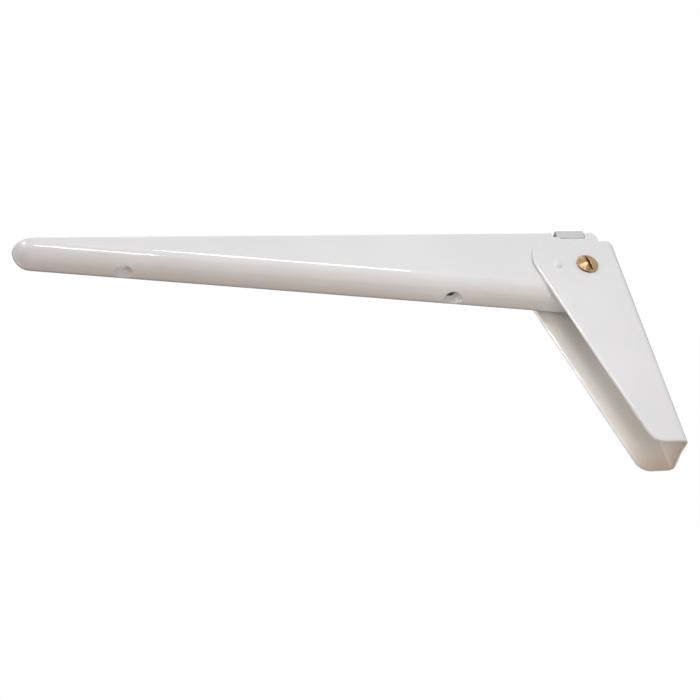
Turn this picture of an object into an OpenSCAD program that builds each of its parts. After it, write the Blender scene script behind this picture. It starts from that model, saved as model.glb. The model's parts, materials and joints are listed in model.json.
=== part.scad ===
// Folding bracket for a drop leaf table: a tapered channel arm that swings down into a wall leg.
// The origin is on the wall face at the height of the pivot, midway between the cheeks.
// +X points into the wall, +Z points up and the arm reaches out along -X.

/* [Wall leg] */
// Distance from the pivot down to the foot of the leg
leg_drop = 121.5; // [90:0.5:160]
// Sheet thickness of the leg
leg_t = 2.2; // [1.6:0.1:2.6]
// Outside radius of the two long bends
leg_bend_r = 4.2; // [3.2:0.1:5]
// Width of the cheeks at the foot, measured from the wall
foot_w = 21; // [17:0.5:26]
// Radius of the front corner at the foot
foot_r = 8; // [4:0.5:10]
// Height of the low top edge above the pivot
leg_rise = 17; // [15:0.5:19]
// Radius of the rear top corner
leg_corner_r = 4; // [2:0.5:6]
// Radius of the rounded lobe at the top of each cheek
lobe_r = 16.7; // [15.5:0.1:18]
// Distance from the pivot forward to the lobe centre
lobe_ahead = 13; // [11:0.5:15]
// Height of the lobe centre above the pivot
lobe_rise = 3.8; // [2:0.1:5]
// Depth of the shallow hollow in the foot end of the web
foot_hollow = 1.4; // [0.5:0.1:2.5]

/* [Wall screw holes] */
// Number of wall screw holes
wall_hole_count = 3; // [2:1:3]
// Distance from the pivot down to the first wall screw hole
wall_hole_drop = 35; // [30:0.5:45]
// Distance from the foot up to the last wall screw hole
wall_hole_edge = 21.5; // [15:0.5:30]
// Diameter of a wall screw hole
wall_hole_d = 5; // [4:0.1:6]
// Diameter of the countersink of a wall screw hole
wall_sink_d = 8.4; // [7:0.1:9]

/* [Arm] */
// Reach from the wall to the tip of the arm
reach = 328; // [250:1:420]
// Outside width of the arm
arm_w = 20; // [19:0.1:20.6]
// Sheet thickness of the arm
arm_t = 2; // [1.5:0.1:2.2]
// Height of the rim above the pivot
rim_rise = 25.8; // [24.8:0.1:27]
// Depth of the arm below its rim at the tip
tip_depth = 10.8; // [10.4:0.1:14]
// Depth that the arm's bottom line reaches below the rim at the pivot
root_depth = 47; // [44:0.5:49]
// Distance from the pivot back to the rear end of the arm
heel_back = 13.5; // [12:0.5:14.5]
// Radius of the rear top corner of the arm
heel_corner_r = 4; // [2:0.5:6]

/* [Leaf screw holes] */
// Distance from the wall to the inner leaf screw hole
leaf_hole_near = 97.6; // [70:1:120]
// Distance between the two leaf screw holes
leaf_hole_pitch = 175; // [120:1:180]
// Diameter of a leaf screw hole
leaf_hole_d = 5; // [4:0.1:6]
// Diameter of the pressed cup around a leaf screw hole
cup_d = 10; // [8:0.1:11]
// Depth of the pressed cup
cup_depth = 4.5; // [3:0.1:5]

/* [Pivot] */
// Distance from the wall to the pivot
pivot_out = 20.5; // [19.6:0.1:24]
// Diameter of the pivot barrel
barrel_d = 8; // [6:0.1:8.4]
// Diameter of the pivot heads
head_d = 12; // [10:0.1:13]
// Height of the pivot heads
head_h = 2.3; // [1.5:0.1:3]
// Diameter of the pivot screw's shank
shank_d = 5; // [4:0.1:5.5]
// Width of the screwdriver slot
slot_w = 1.5; // [1:0.1:2]
// Depth of the screwdriver slot
slot_depth = 1.3; // [0.8:0.1:1.6]
// Angle of the screwdriver slot from upright
slot_turn = 8; // [0:1:90]

/* [Stop pin] */
// Distance from the pivot to the stop pin
stop_r = 17.2; // [16.8:0.1:17.4]
// Diameter of the stop pin
stop_d = 4; // [3:0.1:4.2]
// Diameter of the stop pin's domed heads
stop_head_d = 5.8; // [5:0.1:7]
// Height of the stop pin's domed heads
stop_head_h = 1.3; // [0.8:0.1:2]
// Angle through which the arm folds down
fold_angle = 88; // [80:1:88]

/* [Locking slide] */
// Sheet thickness of the locking slide
slide_t = 1.5; // [1:0.1:1.8]
// Length of the locking slide's head
slide_head_l = 16.2; // [15:0.1:18]
// How far the locking slide's head stands above the rim
slide_proud = 1.3; // [0.5:0.1:2.5]
// Distance from the pivot back to the rear of the locking slide's head
slide_head_back = 6.3; // [5.8:0.1:7]
// Travel of the locking slide
slide_travel = 2.6; // [2.4:0.1:2.8]
// Depth of the notch in the rim that the head sits in
notch_depth = 4.2; // [3.5:0.1:4.4]

/* [Clearances] */
// Clearance between the arm and the inside of each cheek
cheek_gap = 0.7; // [0.4:0.1:1.5]
// Radial clearance of the barrel in the arm
barrel_gap = 0.08; // [0.03:0.01:0.1]
// Radial clearance of a fixed pin in its hole
pin_gap = 0.02; // [0.01:0.01:0.05]
// Clearance of the arm's heel and of its trimmed bottom from the web and its bends
swing_gap = 0.4; // [0.3:0.1:0.6]
// Clearance of the sliding fits
slide_gap = 0.25; // [0.15:0.05:0.3]

/* [Hidden] */
$fn = 96;
over = 1;
barrel_r = barrel_d / 2;
stop_pin_r = stop_d / 2;
arm_r = arm_w / 2;
head_r = head_d / 2;
leg_in = arm_r + cheek_gap;
leg_w = 2 * (leg_in + leg_t);

// Centre of the ball nose and tilt of the bottom, with the rear trimmed to swing clear of the web
nose = [-(reach - arm_r), rim_rise - tip_depth + arm_r];
bottom_tilt = atan2(root_depth - tip_depth, reach - arm_r - pivot_out);
arm_end = -(pivot_out - heel_back);
trim_depth = pivot_out - leg_t - swing_gap;

// Inside radius of the leg's bends, and how far a bend stands off the web where the arm's walls pass
bend_in = leg_bend_r - leg_t;
bend_rise = bend_in - sqrt(pow(bend_in, 2) - pow(max(0, bend_in - cheek_gap), 2));
heel_sweep_r = trim_depth - bend_rise;

// Spacing of the wall screw holes
wall_hole_pitch = (leg_drop - wall_hole_drop - wall_hole_edge) / (wall_hole_count - 1);

// Centres of the lobe and of the foot corner, as [x, z]
lobe = [-(pivot_out + lobe_ahead), lobe_rise];
foot = [-(foot_w - foot_r), -leg_drop + foot_r];

// Unit normal of the front edge, which touches the lobe and the foot corner
front_run = lobe - foot;
front_len = norm(front_run);
front_tilt = atan2(-front_run[0], front_run[1]);
front_lean = asin((lobe_r - foot_r) / front_len);
front_n = [-cos(front_tilt + front_lean), -sin(front_tilt + front_lean)];

// Step from the lobe down to the low top edge
step_rise = lobe_rise + lobe_r - leg_rise;
step_x = lobe[0] + lobe_r / 3;

// Turns geometry drawn in X and Z into a plate of the given width, centred on Y
module plate(width) {
  rotate([90, 0, 0])
    translate([0, 0, -width / 2])
      linear_extrude(height = width)
        children();
}

// A round bar across the width at a point given as [x, z]
module cross_bar(at, r, width) {
  translate([at[0], width / 2, at[1]])
    rotate([90, 0, 0])
      cylinder(r = r, h = width);
}

// Side view of the leg, with the lobe, the step, the tapered front edge and the foot corner
module leg_side() {
  difference() {
    union() {
      polygon([
        lobe + lobe_r * front_n,
        foot + foot_r * front_n,
        foot,
        [foot[0], -leg_drop],
        [0, -leg_drop],
        [0, leg_rise - leg_corner_r],
        [-leg_corner_r, leg_rise],
        [lobe[0], leg_rise],
        lobe
      ]);
      translate([-leg_corner_r, leg_rise - leg_corner_r])
        circle(r = leg_corner_r);
      translate(foot)
        circle(r = foot_r);
      translate(lobe)
        circle(r = lobe_r);
    }
    polygon([
      [step_x, leg_rise],
      [step_x - step_rise, leg_rise + step_rise],
      [step_x - step_rise, lobe_rise + lobe_r + over],
      [step_x + lobe_r, lobe_rise + lobe_r + over],
      [step_x + lobe_r, leg_rise]
    ]);
  }
}

// Plan view of the folded sheet: a web on the wall and two cheeks
module leg_plan() {
  depth = pivot_out + lobe_ahead + lobe_r + over;
  difference() {
    union() {
      translate([-depth, -leg_w / 2])
        square([depth - leg_bend_r, leg_w]);
      translate([-leg_bend_r - over, -leg_w / 2 + leg_bend_r])
        square([leg_bend_r + over, leg_w - 2 * leg_bend_r]);
      for (side = [-1, 1])
        translate([-leg_bend_r, side * (leg_w / 2 - leg_bend_r)])
          circle(r = leg_bend_r);
    }
    union() {
      translate([-depth - over, -leg_in])
        square([depth + over - leg_bend_r, 2 * leg_in]);
      translate([-leg_bend_r - over, -leg_in + bend_in])
        square([bend_in + over, 2 * (leg_in - bend_in)]);
      for (side = [-1, 1])
        translate([-leg_bend_r, side * (leg_in - bend_in)])
          circle(r = bend_in);
    }
  }
}

module wall_leg() {
  hollow_r = (leg_in * leg_in + foot_hollow * foot_hollow) / (2 * foot_hollow);
  color("whitesmoke")
    difference() {
      intersection() {
        plate(leg_w + 2 * over) leg_side();
        translate([0, 0, -leg_drop - over])
          linear_extrude(height = leg_drop + lobe_rise + lobe_r + 2 * over)
            leg_plan();
      }
      cross_bar([-pivot_out, 0], barrel_r + pin_gap, leg_w + 2 * over);
      cross_bar([-pivot_out - stop_r, 0], stop_pin_r + pin_gap, leg_w + 2 * over);
      for (i = [0 : wall_hole_count - 1])
        translate([0, 0, -wall_hole_drop - i * wall_hole_pitch])
          rotate([0, 90, 0])
            wall_hole_cutter();
      translate([-leg_bend_r, 0, -leg_drop + foot_hollow - hollow_r])
        rotate([0, 90, 0])
          cylinder(r = hollow_r, h = leg_bend_r + over);
    }
}

// Countersunk hole along +Z, with its wide mouth on the room side of the web
module wall_hole_cutter() {
  sink_h = (wall_sink_d - wall_hole_d) / 2;
  translate([0, 0, -leg_t - over])
    cylinder(d = wall_hole_d, h = leg_t + 2 * over);
  translate([0, 0, -leg_t])
    cylinder(d1 = wall_sink_d, d2 = wall_hole_d, h = sink_h);
  translate([0, 0, -leg_t - over])
    cylinder(d = wall_sink_d, h = over);
}

// Cross section of the channel: a round bottom with straight walls above it
module channel_section(r, tall) {
  circle(r = r);
  translate([-r, 0])
    square([2 * r, tall]);
}

// Solid the shape of the channel at a given radius, from its ball nose back past the pivot
module arm_form(r) {
  tall = root_depth + tip_depth;
  translate([nose[0], 0, nose[1]])
    rotate([0, bottom_tilt, 0]) {
      rotate([90, 0, 90])
        linear_extrude(height = reach)
          channel_section(r, tall);
      rotate([0, 0, 90])
        rotate_extrude(angle = 180)
          intersection() {
            channel_section(r, tall);
            translate([0, -r])
              square([r, tall + r]);
          }
    }
}

// Side view of what is left at the rear of the arm, so that it turns clear of the web
module arm_side() {
  corner = [arm_end - heel_corner_r, rim_rise - heel_corner_r];
  polygon([
    [-reach - over, -trim_depth],
    [-pivot_out - trim_depth, -trim_depth],
    [-pivot_out, -heel_sweep_r],
    [-pivot_out, 0],
    [arm_end, 0],
    [arm_end, corner[1]],
    corner,
    [corner[0], rim_rise],
    [-reach - over, rim_rise]
  ]);
  translate(corner)
    circle(r = heel_corner_r);
  intersection() {
    translate([-pivot_out, 0])
      circle(r = heel_sweep_r);
    translate([-pivot_out, -heel_sweep_r])
      square([heel_back, 2 * heel_sweep_r]);
  }
}

// Curved slot around the pivot that the stop pin runs in
module stop_track() {
  half = stop_pin_r + slide_gap - 2 * pin_gap;
  far = stop_r + half;
  translate([-pivot_out, 0]) {
    difference() {
      intersection() {
        circle(r = far);
        polygon([
          [0, 0],
          [-2 * far, 0],
          [-2 * far, 2 * far],
          2 * far * [-cos(fold_angle), sin(fold_angle)]
        ]);
      }
      circle(r = stop_r - half);
    }
    translate([-stop_r, 0])
      circle(r = half);
    translate(stop_r * [-cos(fold_angle), sin(fold_angle)])
      circle(r = half);
  }
}

// Height of the outside of the arm's bottom at a distance out from the wall
function arm_bottom(out) =
  nose[1] - (-out - nose[0]) * tan(bottom_tilt) - arm_r / cos(bottom_tilt);

module support_arm() {
  color("white")
    difference() {
      intersection() {
        union() {
          difference() {
            arm_form(arm_r);
            arm_form(arm_r - arm_t);
          }
          intersection() {
            arm_form(arm_r - arm_t / 2);
            for (i = [0, 1])
              cup(leaf_hole_near + i * leaf_hole_pitch, arm_t);
          }
        }
        plate(arm_w + 2 * over) arm_side();
      }
      for (i = [0, 1])
        cup_cutter(leaf_hole_near + i * leaf_hole_pitch);
      cross_bar([-pivot_out, 0], barrel_r + barrel_gap, arm_w + 2 * over);
      plate(arm_w + 2 * over) stop_track();
      rim_notch();
    }
}

// Pressed cup that stands up inside the channel around a leaf screw hole
module cup(out, wall) {
  translate([-out, 0, arm_bottom(out)])
    cylinder(r1 = cup_d / 2 + wall, r2 = leaf_hole_d / 2 + wall, h = cup_depth + arm_t);
}

// Hollow of the pressed cup and its screw hole
module cup_cutter(out) {
  spread = (cup_d - leaf_hole_d) / 2 / cup_depth;
  floor_r = leaf_hole_d / 2 + spread * arm_t / 4;
  translate([-out, 0, arm_bottom(out) - arm_t])
    cylinder(r1 = cup_d / 2 + spread * arm_t, r2 = floor_r, h = cup_depth + arm_t);
  translate([-out, 0, arm_bottom(out)])
    cylinder(d = leaf_hole_d, h = cup_depth + 2 * arm_t);
}

// Notch across both rims for the head of the locking slide
module rim_notch() {
  rear = -pivot_out + slide_head_back + slide_gap;
  length = slide_head_l + slide_travel + 2 * slide_gap;
  translate([rear - length, -arm_r - over, rim_rise - notch_depth])
    cube([length, arm_w + 2 * over, notch_depth + over]);
}

// Side view of one plate of the locking slide, with its finger and its slot around the barrel
module slide_side() {
  top = rim_rise + slide_proud;
  column_l = barrel_r + slide_t;
  column_back = slide_head_back + column_l - slide_t;
  column_top = rim_rise - slide_t;
  finger_low = stop_pin_r + slide_gap;
  finger_h = barrel_r + slide_gap;
  reach_r = stop_r - stop_pin_r - 2 * slide_gap;
  low = -barrel_r - slide_gap - slide_t;
  translate([-pivot_out, 0])
    difference() {
      union() {
        translate([column_back - column_l, low])
          square([column_l, column_top - low]);
        translate([slide_head_back - slide_head_l, rim_rise - notch_depth + slide_gap])
          square([slide_head_l, slide_proud + notch_depth - slide_gap]);
        intersection() {
          circle(r = reach_r);
          union() {
            translate([-2 * barrel_r, low])
              square([2 * barrel_r + column_back, finger_low + finger_h - low]);
            translate([-reach_r, finger_low])
              square([reach_r, finger_h]);
          }
        }
      }
      translate([slide_travel, 0])
        circle(r = barrel_r + slide_gap);
      circle(r = barrel_r + slide_gap);
      translate([0, -barrel_r - slide_gap])
        square([slide_travel, 2 * barrel_r + 2 * slide_gap]);
    }
}

module locking_slide() {
  in_w = arm_w - 2 * arm_t - 2 * slide_gap;
  head_low = rim_rise - notch_depth + slide_gap;
  top = rim_rise + slide_proud;
  color("silver")
    union() {
      for (side = [-1, 1])
        translate([0, side * (in_w - slide_t) / 2, 0])
          plate(slide_t) slide_side();
      difference() {
        translate([-pivot_out + slide_head_back - slide_head_l, -arm_r, head_low])
          cube([slide_head_l, arm_w, top - head_low]);
        translate([-pivot_out - slide_head_l, -arm_r + slide_t, head_low - over])
          cube([2 * slide_head_l, arm_w - 2 * slide_t, top - head_low + over - slide_t]);
      }
    }
}

// Domed head standing on the plane z = 0
module domed_head(r, h) {
  edge = h / 3;
  dome = h - edge;
  ball_r = (r * r + dome * dome) / (2 * dome);
  rotate_extrude()
    intersection() {
      union() {
        square([r, edge]);
        translate([0, h - ball_r])
          circle(r = ball_r);
      }
      square([r, h]);
    }
}

module pivot_screw() {
  color("goldenrod")
    translate([-pivot_out, -leg_w / 2, 0])
      rotate([90, 0, 0]) {
        difference() {
          domed_head(head_r, head_h);
          rotate([0, 0, slot_turn])
            translate([-slot_w / 2, -head_r - over, head_h - slot_depth])
              cube([slot_w, head_d + 2 * over, slot_depth + over]);
        }
        translate([0, 0, -leg_w + leg_t])
          cylinder(d = shank_d, h = leg_w - leg_t);
      }
}

module pivot_sleeve() {
  color("goldenrod")
    translate([-pivot_out, leg_w / 2, 0])
      rotate([-90, 0, 0])
        difference() {
          union() {
            domed_head(head_r, head_h);
            translate([0, 0, -leg_w])
              cylinder(r = barrel_r, h = leg_w);
          }
          translate([0, 0, -leg_w - over])
            cylinder(r = shank_d / 2 + pin_gap, h = leg_w + over);
          translate([-slot_w / 2, -head_r - over, head_h - slot_depth])
            cube([slot_w, head_d + 2 * over, slot_depth + over]);
        }
}

module stop_pin() {
  color("white")
    translate([-pivot_out - stop_r, 0, 0]) {
      for (side = [-1, 1])
        translate([0, side * leg_w / 2, 0])
          rotate([-side * 90, 0, 0])
            domed_head(stop_head_d / 2, stop_head_h);
      cross_bar([0, 0], stop_pin_r, leg_w);
    }
}

wall_leg();
support_arm();
locking_slide();
pivot_screw();
pivot_sleeve();
stop_pin();
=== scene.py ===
# %% [markdown]
# # A drop leaf bracket in white enamel
# The bracket is pressed and folded steel: a long channel arm turns on a brass
# pivot between the cheeks of a wall leg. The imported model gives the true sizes,
# and this lesson gives each piece its soft edges and the finish of the real one.

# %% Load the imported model
import json
import math

import bpy
from mathutils import Matrix, Vector

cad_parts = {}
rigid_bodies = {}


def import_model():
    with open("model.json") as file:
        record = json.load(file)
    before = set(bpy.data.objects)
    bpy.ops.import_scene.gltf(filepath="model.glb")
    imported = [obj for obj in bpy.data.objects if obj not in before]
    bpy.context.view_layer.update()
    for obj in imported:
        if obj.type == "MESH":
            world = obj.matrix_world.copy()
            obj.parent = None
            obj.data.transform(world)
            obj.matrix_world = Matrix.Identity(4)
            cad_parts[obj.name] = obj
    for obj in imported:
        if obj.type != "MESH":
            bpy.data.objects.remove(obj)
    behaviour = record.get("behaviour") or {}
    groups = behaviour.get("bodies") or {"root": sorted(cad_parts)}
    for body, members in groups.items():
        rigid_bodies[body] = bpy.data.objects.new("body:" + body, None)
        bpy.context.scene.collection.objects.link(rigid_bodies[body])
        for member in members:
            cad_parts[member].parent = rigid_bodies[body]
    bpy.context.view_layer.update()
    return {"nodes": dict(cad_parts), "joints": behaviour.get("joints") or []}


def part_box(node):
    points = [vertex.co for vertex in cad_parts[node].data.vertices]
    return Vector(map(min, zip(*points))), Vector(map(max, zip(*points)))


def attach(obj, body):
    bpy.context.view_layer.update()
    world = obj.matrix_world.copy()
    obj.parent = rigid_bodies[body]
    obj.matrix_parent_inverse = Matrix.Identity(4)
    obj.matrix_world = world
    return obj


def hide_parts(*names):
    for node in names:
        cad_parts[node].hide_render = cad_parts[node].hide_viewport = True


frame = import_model()
JOINTS = {joint["name"]: joint for joint in frame["joints"]}
PIVOT = Vector(JOINTS["arm_fold"]["pos_m"])
MM = 0.001
NEAR = 0.01 * MM

# %% [markdown]
# Every operator in Blender acts on what is selected, and the loaded nodes come in
# selected. A few small helpers keep that under control: they drop the selection,
# pick one object, and apply a modifier or a cut as soon as it is set up.

# %% Helpers for modelling
def pick(piece):
    """Selects one object alone and makes it the active one."""
    bpy.ops.object.select_all(action="DESELECT")
    piece.select_set(True)
    bpy.context.view_layer.objects.active = piece


def new_piece(name):
    """Names the object that an operator has just added, and settles it."""
    piece = bpy.context.view_layer.objects.active
    piece.name = name
    pick(piece)
    bpy.ops.object.transform_apply(location=True, rotation=True, scale=True)
    return piece


def finish_with(piece, kind, **settings):
    """Adds a modifier with the given settings and applies it to the mesh."""
    pick(piece)
    modifier = piece.modifiers.new(kind.lower(), kind)
    for name, value in settings.items():
        setattr(modifier, name, value)
    bpy.ops.object.modifier_apply(modifier=modifier.name)


def combine(piece, tool, operation="DIFFERENCE"):
    """Cuts, joins or trims a piece with a tool, which is then thrown away."""
    finish_with(piece, "BOOLEAN", object=tool, operation=operation, solver="EXACT")
    bpy.data.objects.remove(tool)


def choose(piece, kind, test):
    """Enters edit mode with only what passes the test selected."""
    pick(piece)
    bpy.ops.object.mode_set(mode="EDIT")
    bpy.ops.mesh.select_mode(type=kind)
    bpy.ops.mesh.select_all(action="DESELECT")
    bpy.ops.object.mode_set(mode="OBJECT")
    mesh = piece.data
    if kind == "VERT":
        for vertex in mesh.vertices:
            vertex.select = test(vertex.co)
    elif kind == "EDGE":
        for edge in mesh.edges:
            edge.select = all(test(mesh.vertices[i].co) for i in edge.vertices)
    else:
        for face in mesh.polygons:
            face.select = test(face.center)
    bpy.ops.object.mode_set(mode="EDIT")


def done():
    """Leaves edit mode."""
    bpy.ops.object.mode_set(mode="OBJECT")


def pull(value):
    """Extrudes the selection and moves what is new."""
    bpy.ops.mesh.extrude_region_move(TRANSFORM_OT_translate={"value": value})


def block(low, high):
    """A cube between two corners."""
    low, high = Vector(low), Vector(high)
    bpy.ops.mesh.primitive_cube_add(size=1, location=(low + high) / 2, scale=high - low)
    return new_piece("block")


def cross_rod(at, radius, width):
    """A round bar across the bracket, centred on a point."""
    bpy.ops.mesh.primitive_cylinder_add(vertices=64, radius=radius, depth=width, location=at,
                                        rotation=(math.radians(90), 0, 0))
    return new_piece("rod")


def tidy(piece):
    """Merges doubles and joins flat neighbours into single faces."""
    choose(piece, "VERT", lambda at: True)
    bpy.ops.mesh.remove_doubles(threshold=0.002 * MM)
    bpy.ops.mesh.dissolve_limited(angle_limit=math.radians(0.4))
    done()


def round_edges(piece, radius, steps=3, wanted=lambda at: True):
    """Rounds the sharp edges in the wanted places."""
    choose(piece, "EDGE", lambda at: False)
    bpy.ops.mesh.edges_select_sharp(sharpness=math.radians(28))
    done()
    for edge in piece.data.edges:
        edge.select = edge.select and all(wanted(piece.data.vertices[i].co) for i in edge.vertices)
    bpy.ops.object.mode_set(mode="EDIT")
    bpy.ops.mesh.bevel(offset=radius, segments=steps, affect="EDGES",
                       clamp_overlap=False, loop_slide=False)
    done()


def shade(piece):
    """Shades a piece smooth, apart from its sharp edges."""
    pick(piece)
    bpy.ops.object.shade_smooth_by_angle(angle=math.radians(32))
    finish_with(piece, "WEIGHTED_NORMAL", keep_sharp=True)


def place(piece, body, slot, *nodes):
    """Hangs a piece on the body it rides on and hides the nodes it stands for; the slot is not used."""
    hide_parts(*nodes)
    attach(piece, body)
    print(piece.name, "faces", len(piece.data.polygons), "size",
          [round(side / MM, 2) for side in piece.dimensions])


# %% [markdown]
# ## The arm: nose, round bottom and walls
# The real arm is pressed from one strip: a round-bottomed channel that closes into
# a ball nose and deepens towards the pivot. Here a sphere gives the nose, its rear
# edge is pulled back to make the bottom, and its top edge is pulled up to make the
# walls, so all three flow together as they do in pressed steel.

# %% Pull the channel out of a sphere
ARM_LOW, ARM_HIGH = (Vector(corner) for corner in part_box("support_arm"))
ARM_R = ARM_HIGH.y
ARM_SHEET = 2.0 * MM
TIP_DEPTH = 10.8 * MM
ROOT_DEPTH = 47 * MM
NOSE = Vector((ARM_LOW.x + ARM_R, 0, ARM_HIGH.z - TIP_DEPTH + ARM_R))
TILT = math.atan2(ROOT_DEPTH - TIP_DEPTH, PIVOT.x - NOSE.x)
ARM_LONG = ARM_HIGH.x - ARM_LOW.x

def slice_off(piece, at, normal, close):
    """Cuts a piece along a plane and throws away the outer side."""
    choose(piece, "FACE", lambda centre: True)
    bpy.ops.mesh.bisect(plane_co=at, plane_no=normal, use_fill=close, clear_outer=True,
                        threshold=NEAR / 10)
    done()


bpy.ops.mesh.primitive_uv_sphere_add(segments=80, ring_count=40, radius=ARM_R, location=(0, 0, 0),
                                     rotation=(math.radians(90), 0, 0))
arm = new_piece("arm_channel")
choose(arm, "VERT", lambda at: at.z > NEAR)
bpy.ops.mesh.delete(type="VERT")
done()
arm_way = Vector((math.cos(TILT), 0, -math.sin(TILT)))
slice_off(arm, (0, 0, 0), arm_way, False)
choose(arm, "EDGE", lambda at: abs(at.dot(arm_way)) < NEAR)
pull(ARM_LONG * arm_way)
done()
choose(arm, "EDGE", lambda at: at.z > -NEAR or abs(at.y) > ARM_R - NEAR)
pull((0, 0, ROOT_DEPTH + TIP_DEPTH))
bpy.ops.mesh.select_all(action="SELECT")
bpy.ops.mesh.normals_make_consistent(inside=False)
bpy.ops.transform.translate(value=NOSE)
done()
finish_with(arm, "SOLIDIFY", thickness=ARM_SHEET, offset=-1, use_even_offset=True)
print("arm tilt", round(math.degrees(TILT), 2), "box", [round(side / MM, 2) for side in arm.dimensions])

# %% [markdown]
# The channel is cut to length and level, as the pressed blank is trimmed in a tool.
# The rim takes a cut along the leaf, the rear a square cut with a rounded corner,
# and the heel an arc around the pivot, so that the arm turns clear of the web.

# %% Trim the rim, the rear and the heel
HEEL_CORNER_R = 4 * MM
EDGE_R = 0.7 * MM
BEND_RISE = 0.48 * MM
TRIM_DEPTH = -ARM_LOW.z
HEEL_R = TRIM_DEPTH - BEND_RISE
WIDE = 4 * ARM_R

slice_off(arm, (0, 0, ARM_HIGH.z), (0, 0, 1), True)
slice_off(arm, (ARM_HIGH.x, 0, 0), (1, 0, 0), True)
choose(arm, "EDGE", lambda at: abs(at.x - ARM_HIGH.x) < NEAR and abs(at.z - ARM_HIGH.z) < NEAR)
bpy.ops.mesh.bevel(offset=HEEL_CORNER_R, segments=10, affect="EDGES")
done()

heel = block((PIVOT.x, -WIDE, -WIDE), (WIDE, WIDE, 0))
combine(heel, cross_rod(PIVOT, HEEL_R, 4 * WIDE))
combine(arm, heel)
bend_start = PIVOT.x - TRIM_DEPTH
under = block((bend_start - WIDE, -WIDE, -WIDE), (bend_start, WIDE, -TRIM_DEPTH))
choose(under, "FACE", lambda at: at.x > bend_start - NEAR)
pull((TRIM_DEPTH + NEAR, 0, 0))
done()
choose(under, "VERT", lambda at: at.x > PIVOT.x and at.z > -WIDE + NEAR)
bpy.ops.transform.translate(value=(0, 0, BEND_RISE))
done()
combine(arm, under)
tidy(arm)


def on_trimmed_edge(at):
    """True at the rim and down the upper part of the rear edge."""
    return at.z > 0 and max(at.z - ARM_HIGH.z, at.x - ARM_HIGH.x) > -HEEL_CORNER_R - NEAR


round_edges(arm, EDGE_R, wanted=on_trimmed_edge)
print("arm trimmed, faces", len(arm.data.polygons))

# %% [markdown]
# Two cups are pressed up into the channel around the leaf screws, so that a screw
# head sinks into the round bottom. Each cup is a short cone joined to the channel,
# with a cone and the screw hole taken out of it. The mouths stay crisp, as a punch
# leaves them.

# %% Press the cups and drill their holes
LEAF_HOLES = [-97.6 * MM, -272.6 * MM]
HOLE_R = 2.5 * MM
CUP_R = 5 * MM
CUP_DEPTH = 4.5 * MM
CUP_SPREAD = (CUP_R - HOLE_R) / CUP_DEPTH


def bottom_at(x):
    """Height of the outside of the round bottom at a distance along the arm."""
    return NOSE.z - (x - NOSE.x) * math.tan(TILT) - ARM_R / math.cos(TILT)


def cone(x, low, tall, radius_low, radius_high):
    """An upright cone on the arm's middle line."""
    bpy.ops.mesh.primitive_cone_add(vertices=64, radius1=radius_low, radius2=radius_high,
                                    depth=tall, location=(x, 0, low + tall / 2))
    return new_piece("cone")


for hole_x in LEAF_HOLES:
    floor_z = bottom_at(hole_x)
    cup = cone(hole_x, floor_z, CUP_DEPTH + ARM_SHEET, CUP_R + ARM_SHEET, HOLE_R + ARM_SHEET)
    bpy.ops.mesh.primitive_cylinder_add(
        vertices=160, radius=ARM_R - ARM_SHEET / 2, depth=WIDE, rotation=(0, math.radians(90) + TILT, 0),
        location=(hole_x, 0, floor_z + ARM_R / math.cos(TILT)))
    combine(cup, new_piece("mould"), "INTERSECT")
    combine(arm, cup, "UNION")
    combine(arm, cone(hole_x, floor_z - ARM_SHEET, CUP_DEPTH + ARM_SHEET,
                      CUP_R + CUP_SPREAD * ARM_SHEET, HOLE_R + CUP_SPREAD * ARM_SHEET / 4))
    combine(arm, cone(hole_x, floor_z, 2 * CUP_DEPTH, HOLE_R, HOLE_R))
tidy(arm)
print("cups pressed, faces", len(arm.data.polygons))

# %% [markdown]
# The walls are punched last: a bore for the pivot, a curved slot in which the stop
# pin runs as the arm folds, and a notch in the rims for the head of the locking
# slide. The slot is one flat strip spun around the pivot, with a round at each end.

# %% Punch the pivot, the stop slot and the notch
BORE_R = 4.08 * MM
STOP_R = 17.2 * MM
PIN = PIVOT + Vector((-STOP_R, 0, 0))
SLOT_R = 2.21 * MM
FOLD = math.radians(88)
NOTCH_REAR = 6.55 * MM
NOTCH_LONG = 19.3 * MM
NOTCH_DEPTH = 4.2 * MM

combine(arm, cross_rod(PIVOT, BORE_R, WIDE))
bpy.ops.mesh.primitive_plane_add(size=1, location=PIN)
bpy.context.object.scale = (2 * SLOT_R, WIDE, 1)
slot_bar = new_piece("slot_bar")
choose(slot_bar, "FACE", lambda at: True)
bpy.ops.mesh.spin(steps=32, angle=FOLD, center=PIVOT, axis=(0, 1, 0))
bpy.ops.mesh.select_all(action="SELECT")
bpy.ops.mesh.normals_make_consistent(inside=False)
done()
combine(arm, slot_bar)
for turn in (0, FOLD):
    track_end = PIVOT + STOP_R * Vector((-math.cos(turn), 0, math.sin(turn)))
    combine(arm, cross_rod(track_end, SLOT_R, WIDE))
notch_end = PIVOT.x + NOTCH_REAR
notch_low = (notch_end - NOTCH_LONG, -WIDE, ARM_HIGH.z - NOTCH_DEPTH)
combine(arm, block(notch_low, (notch_end, WIDE, WIDE)))
tidy(arm)
shade(arm)
place(arm, "arm", "enamel", "support_arm")

# %% [markdown]
# ## The leg, the slide and the pivot
# These imported pieces already have the right outline. A copy of the node is merged and its flat areas
# become single faces. On the leg and the slide a narrow bevel gives the cut edges the soft radius that
# enamel or plating leaves; the leg's punched holes and the brass pieces keep their edges. Modelling them
# again would only repeat the outline.

# %% Softened copies of the imported nodes
def soften(node, name, body, slot, radius=0, wanted=lambda at: True):
    """Copies a node, merges it, and rounds its sharp edges in the wanted places."""
    pick(frame["nodes"][node])
    bpy.ops.object.duplicate()
    bpy.ops.object.parent_clear(type="CLEAR_KEEP_TRANSFORM")
    piece = new_piece(name)
    tidy(piece)
    if radius:
        round_edges(piece, radius, wanted=wanted)
    shade(piece)
    place(piece, body, slot, node)
    return piece


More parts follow.
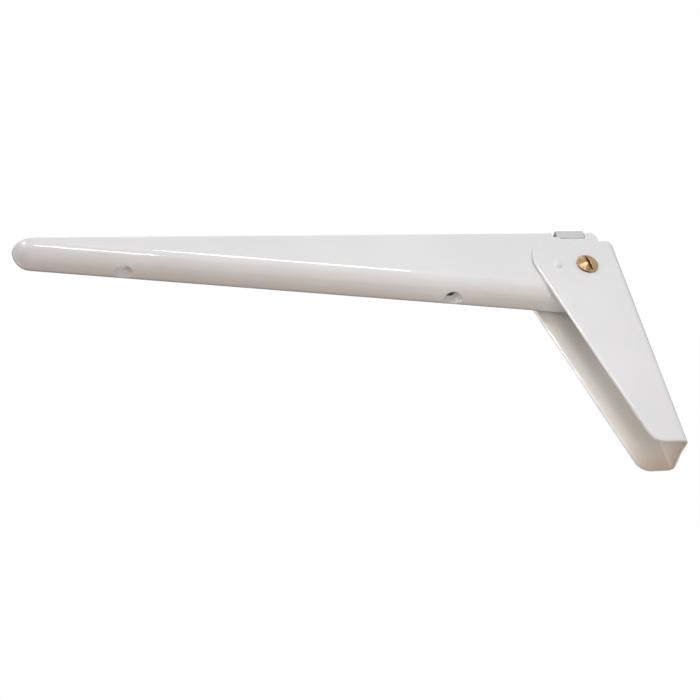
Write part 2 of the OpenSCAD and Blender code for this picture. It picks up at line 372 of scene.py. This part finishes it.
LEG_R = 0.6 * MM
WEB_CLEAR = 3 * MM
SLIDE_R = 0.2 * MM
LEG_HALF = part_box("wall_leg")[1][1]
HOLE_CLEAR = 5 * MM


def from_axis(at, axis_at):
    """Distance from an axis across the bracket."""
    return math.hypot(at.x - axis_at.x, at.z - axis_at.z)


def off_holes(at):
    """True away from the leg's punched holes, whose edges stay crisp."""
    in_web = at.x > -WEB_CLEAR and abs(at.y) < HOLE_CLEAR
    return not in_web and all(from_axis(at, axis_at) > HOLE_CLEAR for axis_at in (PIVOT, PIN))


leg = soften("wall_leg", "leg_sheet", "leg", "enamel", LEG_R, wanted=off_holes)
slide = soften("locking_slide", "lock_slide", "lock", "zinc", SLIDE_R)
screw = soften("pivot_screw", "brass_screw", "leg", "brass")
sleeve = soften("pivot_sleeve", "brass_sleeve", "leg", "brass")

# %% [markdown]
# ## The stop pin
# The pin is riveted over and painted with the leg, so its heads are low domes that
# melt into the cheeks. Each head grows from an end of the rod, ring by ring, and
# the first rings rise slowly, as paint does where it gathers in a corner.

# %% Grow the painted heads from the rod
PIN_LOW, PIN_HIGH = (Vector(corner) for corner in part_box("stop_pin"))
PIN_R = 2 * MM
HEAD_R = (PIN_HIGH.x - PIN_LOW.x) / 2
HEAD_TALL = PIN_HIGH.y - LEG_HALF
DOME_SHARES = [(0.93, 0.03), (0.84, 0.14), (0.74, 0.34), (0.62, 0.57), (0.48, 0.77),
               (0.32, 0.91), (0.16, 0.98)]

pin = cross_rod(PIN, PIN_R, 2 * LEG_HALF)
pin.name = "stop_pin_painted"
for side in (-1, 1):
    choose(pin, "FACE", lambda at: side * at.y > LEG_HALF - NEAR)
    radius, height = PIN_R, 0
    for radius_share, height_share in [(1, 0)] + DOME_SHARES:
        pull((0, side * (height_share - height) * HEAD_TALL, 0))
        scale = radius_share * HEAD_R / radius
        bpy.ops.transform.resize(value=(scale, 1, scale), center_override=PIN)
        radius, height = radius_share * HEAD_R, height_share
    done()
pick(pin)
bpy.ops.object.shade_smooth_by_angle(angle=math.radians(60))
place(pin, "leg", "enamel", "stop_pin")

# %% [markdown]
# ## White enamel
# The paint is a thick glossy coat over steel. A Principled shader with a clear coat
# gives the sharp reflections, and a fine noise in the bump gives the slight
# unevenness, called orange peel, that shows only where a highlight runs over it.
# Inside the leg the colour is painted lighter and warmer. This is painted light that stands in for light
# bouncing inside the channel, and it turns darker towards the foot as painted shade. The wall of the
# screw hole next to the leg is painted dark, as painted shade in the hole. Why isn't known: part of it
# may be the light. Both are told apart by their place.

# %% Helpers for materials, and the enamel
# Painted light and shade: inside the leg the enamel is painted lighter and warmer, and darker towards
# the foot.
INSIDE_PAINTED_LIGHT = (0.89, 0.87, 0.83)
FOOT_PAINTED_SHADE = (0.62, 0.52, 0.43)
# Painted shade: the dark colour of the screw hole's wall near the leg.
HOLE_PAINTED_SHADE = (0.15, 0.12, 0.11)
LEG_INSIDE = 11.4 * MM
LEG_TALL = -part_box("wall_leg")[0][2]


def new_material(name):
    """A material with an empty Principled shader, its nodes and its links."""
    made = bpy.data.materials.new(name)
    made.use_nodes = True
    nodes, links = made.node_tree.nodes, made.node_tree.links
    return made, nodes, links, nodes["Principled BSDF"]


def noise_on_object(nodes, links, scale, detail=2.0):
    """A noise that reads the piece's own coordinates, so it stays with the surface."""
    place_on = nodes.new("ShaderNodeTexCoord")
    noise = nodes.new("ShaderNodeTexNoise")
    noise.inputs["Scale"].default_value = scale
    noise.inputs["Detail"].default_value = detail
    links.new(place_on.outputs["Object"], noise.inputs["Vector"])
    return noise


def ramp(nodes, links, source, stops):
    """Turns a value into a colour between two stops."""
    node = nodes.new("ShaderNodeValToRGB")
    for element, (position, colour) in zip(node.color_ramp.elements, stops):
        element.position = position
        element.color = (*colour, 1)
    links.new(source, node.inputs["Fac"])
    return node


def bump(nodes, links, height, distance, strength, shader):
    """Feeds a height into the shader's normal."""
    node = nodes.new("ShaderNodeBump")
    node.inputs["Distance"].default_value = distance
    node.inputs["Strength"].default_value = strength
    links.new(height, node.inputs["Height"])
    links.new(node.outputs["Normal"], shader.inputs["Normal"])


def mathematics(nodes, links, operation, source, value):
    """A math node on a value, with a fixed second number."""
    node = nodes.new("ShaderNodeMath")
    node.operation = operation
    links.new(source, node.inputs[0])
    node.inputs[1].default_value = value
    return node.outputs["Value"]


def tint_by(nodes, links, share, colour, other, shader):
    """Gives the shader one colour, and another one where the share is 1."""
    mix = nodes.new("ShaderNodeMix")
    mix.data_type = "RGBA"
    links.new(share, mix.inputs["Factor"])
    links.new(colour, mix.inputs[6])
    links.new(other, mix.inputs[7])
    links.new(mix.outputs[2], shader.inputs["Base Color"])


def plain(nodes, colour):
    """A colour by itself."""
    node = nodes.new("ShaderNodeRGB")
    node.outputs["Color"].default_value = (*colour, 1)
    return node.outputs["Color"]


def vector_step(nodes, links, operation, source, value):
    """A vector math node on a vector, with a fixed second vector."""
    node = nodes.new("ShaderNodeVectorMath")
    node.operation = operation
    links.new(source, node.inputs[0])
    node.inputs[1].default_value = value
    return node.outputs["Vector"]


def painted_light_inside(nodes, links, spot):
    """Painted light inside the leg, a lighter, warmer tone off the wall face, turning to painted shade
    towards the foot.
    """
    apart = nodes.new("ShaderNodeSeparateXYZ")
    links.new(spot, apart.inputs["Vector"])
    off_middle = mathematics(nodes, links, "ABSOLUTE", apart.outputs["Y"], 0)
    inside = mathematics(nodes, links, "LESS_THAN", off_middle, LEG_INSIDE)
    off_wall = mathematics(nodes, links, "LESS_THAN", apart.outputs["X"], -MM)
    both = mathematics(nodes, links, "MINIMUM", inside, 1)
    links.new(off_wall, both.node.inputs[1])
    down = mathematics(nodes, links, "MULTIPLY", apart.outputs["Z"], -1 / LEG_TALL)
    return both, ramp(nodes, links, down, [(0.86, INSIDE_PAINTED_LIGHT), (1.0, FOOT_PAINTED_SHADE)]).outputs["Color"]


def hole_wall_shade(nodes, links, spot):
    """Painted shade: the wall of the screw hole near the leg is painted dark."""
    off_hole = vector_step(nodes, links, "SUBTRACT", spot, (LEAF_HOLES[0], 0, 0))
    flat = vector_step(nodes, links, "MULTIPLY", off_hole, (1, 1, 0))
    length = nodes.new("ShaderNodeVectorMath")
    length.operation = "LENGTH"
    links.new(flat, length.inputs[0])
    share = mathematics(nodes, links, "LESS_THAN", length.outputs["Value"], 1.04 * HOLE_R)
    return share, plain(nodes, HOLE_PAINTED_SHADE)


def enamel_finish(name, special=None):
    """White enamel, with another colour where the special part says so."""
    made, nodes, links, shader = new_material(name)
    tone = noise_on_object(nodes, links, 22.0)
    tint = ramp(nodes, links, tone.outputs["Fac"],
                [(0.35, (0.775, 0.775, 0.785)), (0.65, (0.805, 0.805, 0.81))])
    links.new(tint.outputs["Color"], shader.inputs["Base Color"])
    # The special part paints light or shade into the colour by place.
    if special:
        place_on = nodes.new("ShaderNodeTexCoord")
        share, other = special(nodes, links, place_on.outputs["Object"])
        tint_by(nodes, links, share, tint.outputs["Color"], other, shader)
    shader.inputs["Roughness"].default_value = 0.35
    shader.inputs["Specular IOR Level"].default_value = 0.3
    shader.inputs["Coat Weight"].default_value = 0.8
    shader.inputs["Coat Roughness"].default_value = 0.03
    peel = noise_on_object(nodes, links, 300.0, detail=1.0)
    bump(nodes, links, peel.outputs["Fac"], 0.01 * MM, 0.12, shader)
    return made


# %% [markdown]
# ## Zinc plate and turned brass
# Both metals are bare, so their base colour is the colour of what they reflect.
# The zinc is dull and even. The brass head was faced on a lathe, and the fine rings
# that the tool leaves stretch each reflection into a wedge across the head. Tarnish
# gathers in the slot and round the rim, where no polish reaches.

# %% The two metals
TARNISH = (0.07, 0.04, 0.02)


def zinc_finish():
    """Dull zinc plate with a fine grain."""
    made, nodes, links, shader = new_material("zinc_plate")
    shader.inputs["Metallic"].default_value = 1.0
    shader.inputs["Roughness"].default_value = 0.42
    tone = noise_on_object(nodes, links, 90.0, detail=3.0)
    tint = ramp(nodes, links, tone.outputs["Fac"],
                [(0.3, (0.44, 0.44, 0.445)), (0.7, (0.48, 0.48, 0.485))])
    links.new(tint.outputs["Color"], shader.inputs["Base Color"])
    grain = noise_on_object(nodes, links, 700.0)
    bump(nodes, links, grain.outputs["Fac"], 0.01 * MM, 0.2, shader)
    return made


def brass_finish():
    """Brass with turned rings, and tarnish on its steep faces."""
    made, nodes, links, shader = new_material("turned_brass")
    shader.inputs["Metallic"].default_value = 1.0
    shader.inputs["Roughness"].default_value = 0.3
    shader.inputs["Anisotropic"].default_value = 0.9
    shader.inputs["Anisotropic Rotation"].default_value = 0.25
    around = nodes.new("ShaderNodeTangent")
    around.direction_type = "RADIAL"
    around.axis = "Y"
    links.new(around.outputs["Tangent"], shader.inputs["Tangent"])
    place_on = nodes.new("ShaderNodeTexCoord")
    off_pivot = vector_step(nodes, links, "SUBTRACT", place_on.outputs["Object"], PIVOT)
    flat = vector_step(nodes, links, "MULTIPLY", off_pivot, (1, 0, 1))
    rings = nodes.new("ShaderNodeTexWave")
    rings.wave_type = "RINGS"
    rings.rings_direction = "SPHERICAL"
    rings.inputs["Scale"].default_value = 260.0
    rings.inputs["Distortion"].default_value = 0.8
    links.new(flat, rings.inputs["Vector"])
    tint = ramp(nodes, links, rings.outputs["Fac"],
                [(0.1, (0.36, 0.23, 0.12)), (0.9, (0.46, 0.31, 0.17))])
    facing = nodes.new("ShaderNodeSeparateXYZ")
    links.new(place_on.outputs["Normal"], facing.inputs["Vector"])
    upright = mathematics(nodes, links, "ABSOLUTE", facing.outputs["Y"], 0)
    steep = mathematics(nodes, links, "LESS_THAN", upright, 0.35)
    tint_by(nodes, links, steep, tint.outputs["Color"], plain(nodes, TARNISH), shader)
    bump(nodes, links, rings.outputs["Fac"], 0.01 * MM, 0.05, shader)
    return made


# %% Dress the pieces
ENAMEL, ZINC, BRASS = enamel_finish("white_enamel"), zinc_finish(), brass_finish()
# This enamel carries painted light inside the leg and painted shade towards its foot.
INSIDE_LIT_ENAMEL = enamel_finish("enamel_painted_inside_light", painted_light_inside)
# This enamel carries painted shade on the wall of the screw hole near the leg.
HOLE_SHADED_ENAMEL = enamel_finish("enamel_painted_hole_shade", hole_wall_shade)
for piece, finish in [(arm, HOLE_SHADED_ENAMEL), (leg, INSIDE_LIT_ENAMEL), (pin, ENAMEL), (slide, ZINC),
                      (screw, BRASS), (sleeve, BRASS)]:
    piece.data.materials.clear()
    piece.data.materials.append(finish)
    print(piece.name, "wears", finish.name)

# %% [markdown]
# ## Camera
# The photo looks up at the bracket from its near left. The camera stands where the
# edges of the arm and the leg run in the photo's own directions, and it is rolled
# so that the rim of the arm lies level in the frame.

# %% Place the camera
CAMERA_AT = Vector((-0.60575, -0.99421, -0.87853))
CAMERA_RIGHT = Vector((0.9461, -0.23304, -0.22491))
CAMERA_UP = Vector((0.02149, -0.64773, 0.76156))
CAMERA_LENS = 137.4


def axes(x, y, z, at):
    """The placing matrix with the given three axes and origin."""
    return Matrix.Translation(at) @ Matrix((x, y, z)).transposed().to_4x4()


right = CAMERA_RIGHT.normalized()
back = right.cross(CAMERA_UP).normalized()
bpy.ops.object.camera_add()
camera = bpy.context.object
camera.matrix_world = axes(right, back.cross(right), back, CAMERA_AT)
camera.data.lens = CAMERA_LENS
camera.data.sensor_width = 36
bpy.context.scene.camera = camera
print("camera at", [round(value, 3) for value in CAMERA_AT], "lens", CAMERA_LENS)

# %% [markdown]
# ## Light
# A soft panel stands on the near side, a little to the left, so the near faces are
# the brightest and the inside of the leg falls off behind its front edge. A warm
# floor below lifts the shadows. Two slim strips draw the thin highlights where the
# arm's wall rolls under, a small lamp lights the inside of the leg, and a dark card
# behind, seen only in reflections, gives the white edges an outline.

# %% Floor, card and lamps
FLOOR_Z = -1.25
FLOOR_COLOUR = (0.63, 0.53, 0.45)
CARD_FAR = 0.9
CARD_COLOUR = (0.05, 0.05, 0.05)
COOL = (0.94, 0.97, 1.0)
COOL_INNER = (0.96, 0.98, 1.0)
WARM = (1.0, 0.97, 0.94)
ARM_MIDDLE = Vector((-0.17, 0, 0))


def stage_sheet(name, at, size, turn, colour):
    """A plain sheet of the stage: the floor or a card."""
    bpy.ops.mesh.primitive_plane_add(size=1, location=at, rotation=turn)
    bpy.context.object.scale = (*size, 1)
    sheet = new_piece(name)
    made, nodes, links, shader = new_material(name + "_paint")
    shader.inputs["Base Color"].default_value = (*colour, 1)
    shader.inputs["Roughness"].default_value = 0.9
    sheet.data.materials.append(made)
    return sheet


def lamp(name, at, toward, size, power, colour=(1, 1, 1), shines=True, glints=True):
    """A rectangular lamp that faces a point; a glint lamp only shows in reflections."""
    bpy.ops.object.light_add(type="AREA", location=at)
    made = bpy.context.object
    made.name = name
    made.rotation_euler = (Vector(toward) - Vector(at)).to_track_quat("-Z", "Y").to_euler()
    made.data.shape = "RECTANGLE"
    made.data.size, made.data.size_y = size
    made.data.energy = power
    made.data.color = colour
    made.visible_diffuse = shines
    made.visible_glossy = glints
    return made


def strip(name, start, end, width, power):
    """A slim glint lamp that runs between two points and faces the arm."""
    start, end = Vector(start), Vector(end)
    middle = (start + end) / 2
    made = lamp(name, middle, ARM_MIDDLE, ((end - start).length, width), power, shines=False)
    along = (end - start).normalized()
    across = (middle - ARM_MIDDLE).cross(along).normalized()
    made.matrix_world = axes(along, across, along.cross(across), middle)
    return made


stage_sheet("floor", (0, 0, FLOOR_Z), (14, 14), (0, 0, 0), FLOOR_COLOUR)
card_at = ARM_MIDDLE + CARD_FAR * (ARM_MIDDLE - CAMERA_AT).normalized()
card_turn = back.to_track_quat("Z", "Y").to_euler()
card = stage_sheet("dark_card", card_at, (2.0, 2.0), card_turn, CARD_COLOUR)
card.visible_camera = False
card.visible_diffuse = False
card.visible_shadow = False

lamp("near_panel", (-0.24, -0.75, 0.2), (-0.2, 0, 0), (0.3, 0.3), 1.56, COOL, glints=False)
inner = lamp("inner_fill", (-0.42, -0.09, -0.08), (-0.02, 0, -0.045), (0.06, 0.06), 0.0105,
             COOL_INNER, glints=False)
inner.data.spread = math.radians(26)
lamp("low_fill", (-0.2, -0.85, -0.58), (-0.16, 0, 0), (0.3, 0.3), 2.0, WARM, glints=False)
lamp("far_panel", (0.3, 1.3, 0.6), ARM_MIDDLE, (0.8, 0.8), 4.0, glints=False)
lamp("top_panel", (0.2, 0, 1.2), (-0.1, 0, 0), (0.8, 0.8), 3.4, shines=False)
lamp("left_panel", (-1.1, -0.75, 0.40), (-0.04, 0, 0), (0.3, 0.12), 10.0, shines=False)
strip("glint_low", (-0.215, -0.996, -0.092), (-0.094, -0.987, -0.123), 0.10, 0.75)
strip("glint_high", (-0.031, -0.892, 0.429), (0.195, -0.873, 0.392), 0.10, 1.3)

# %% [markdown]
# The world is a plain pale light. To the camera, to metal and through glass it is
# pure white, as the photo's background is, and that adds no light to the bracket.

# %% The world
world = bpy.data.worlds.new("studio")
bpy.context.scene.world = world
world.use_nodes = True
nodes, links = world.node_tree.nodes, world.node_tree.links
light = nodes["Background"]
light.inputs["Color"].default_value = (0.96, 0.975, 1.0, 1)
light.inputs["Strength"].default_value = 0.65
seen = nodes.new("ShaderNodeBackground")
seen.inputs["Color"].default_value = (1, 1, 1, 1)
seen.inputs["Strength"].default_value = 1.0
path = nodes.new("ShaderNodeLightPath")
either = path.outputs["Is Camera Ray"]
for ray in ("Is Glossy Ray", "Is Transmission Ray"):
    join = nodes.new("ShaderNodeMath")
    join.operation = "MAXIMUM"
    links.new(either, join.inputs[0])
    links.new(path.outputs[ray], join.inputs[1])
    either = join.outputs["Value"]
mix = nodes.new("ShaderNodeMixShader")
links.new(either, mix.inputs["Fac"])
links.new(light.outputs["Background"], mix.inputs[1])
links.new(seen.outputs["Background"], mix.inputs[2])
links.new(mix.outputs["Shader"], nodes["World Output"].inputs["Surface"])
bpy.context.scene.view_settings.view_transform = "Standard"
print("world strength", light.inputs["Strength"].default_value)
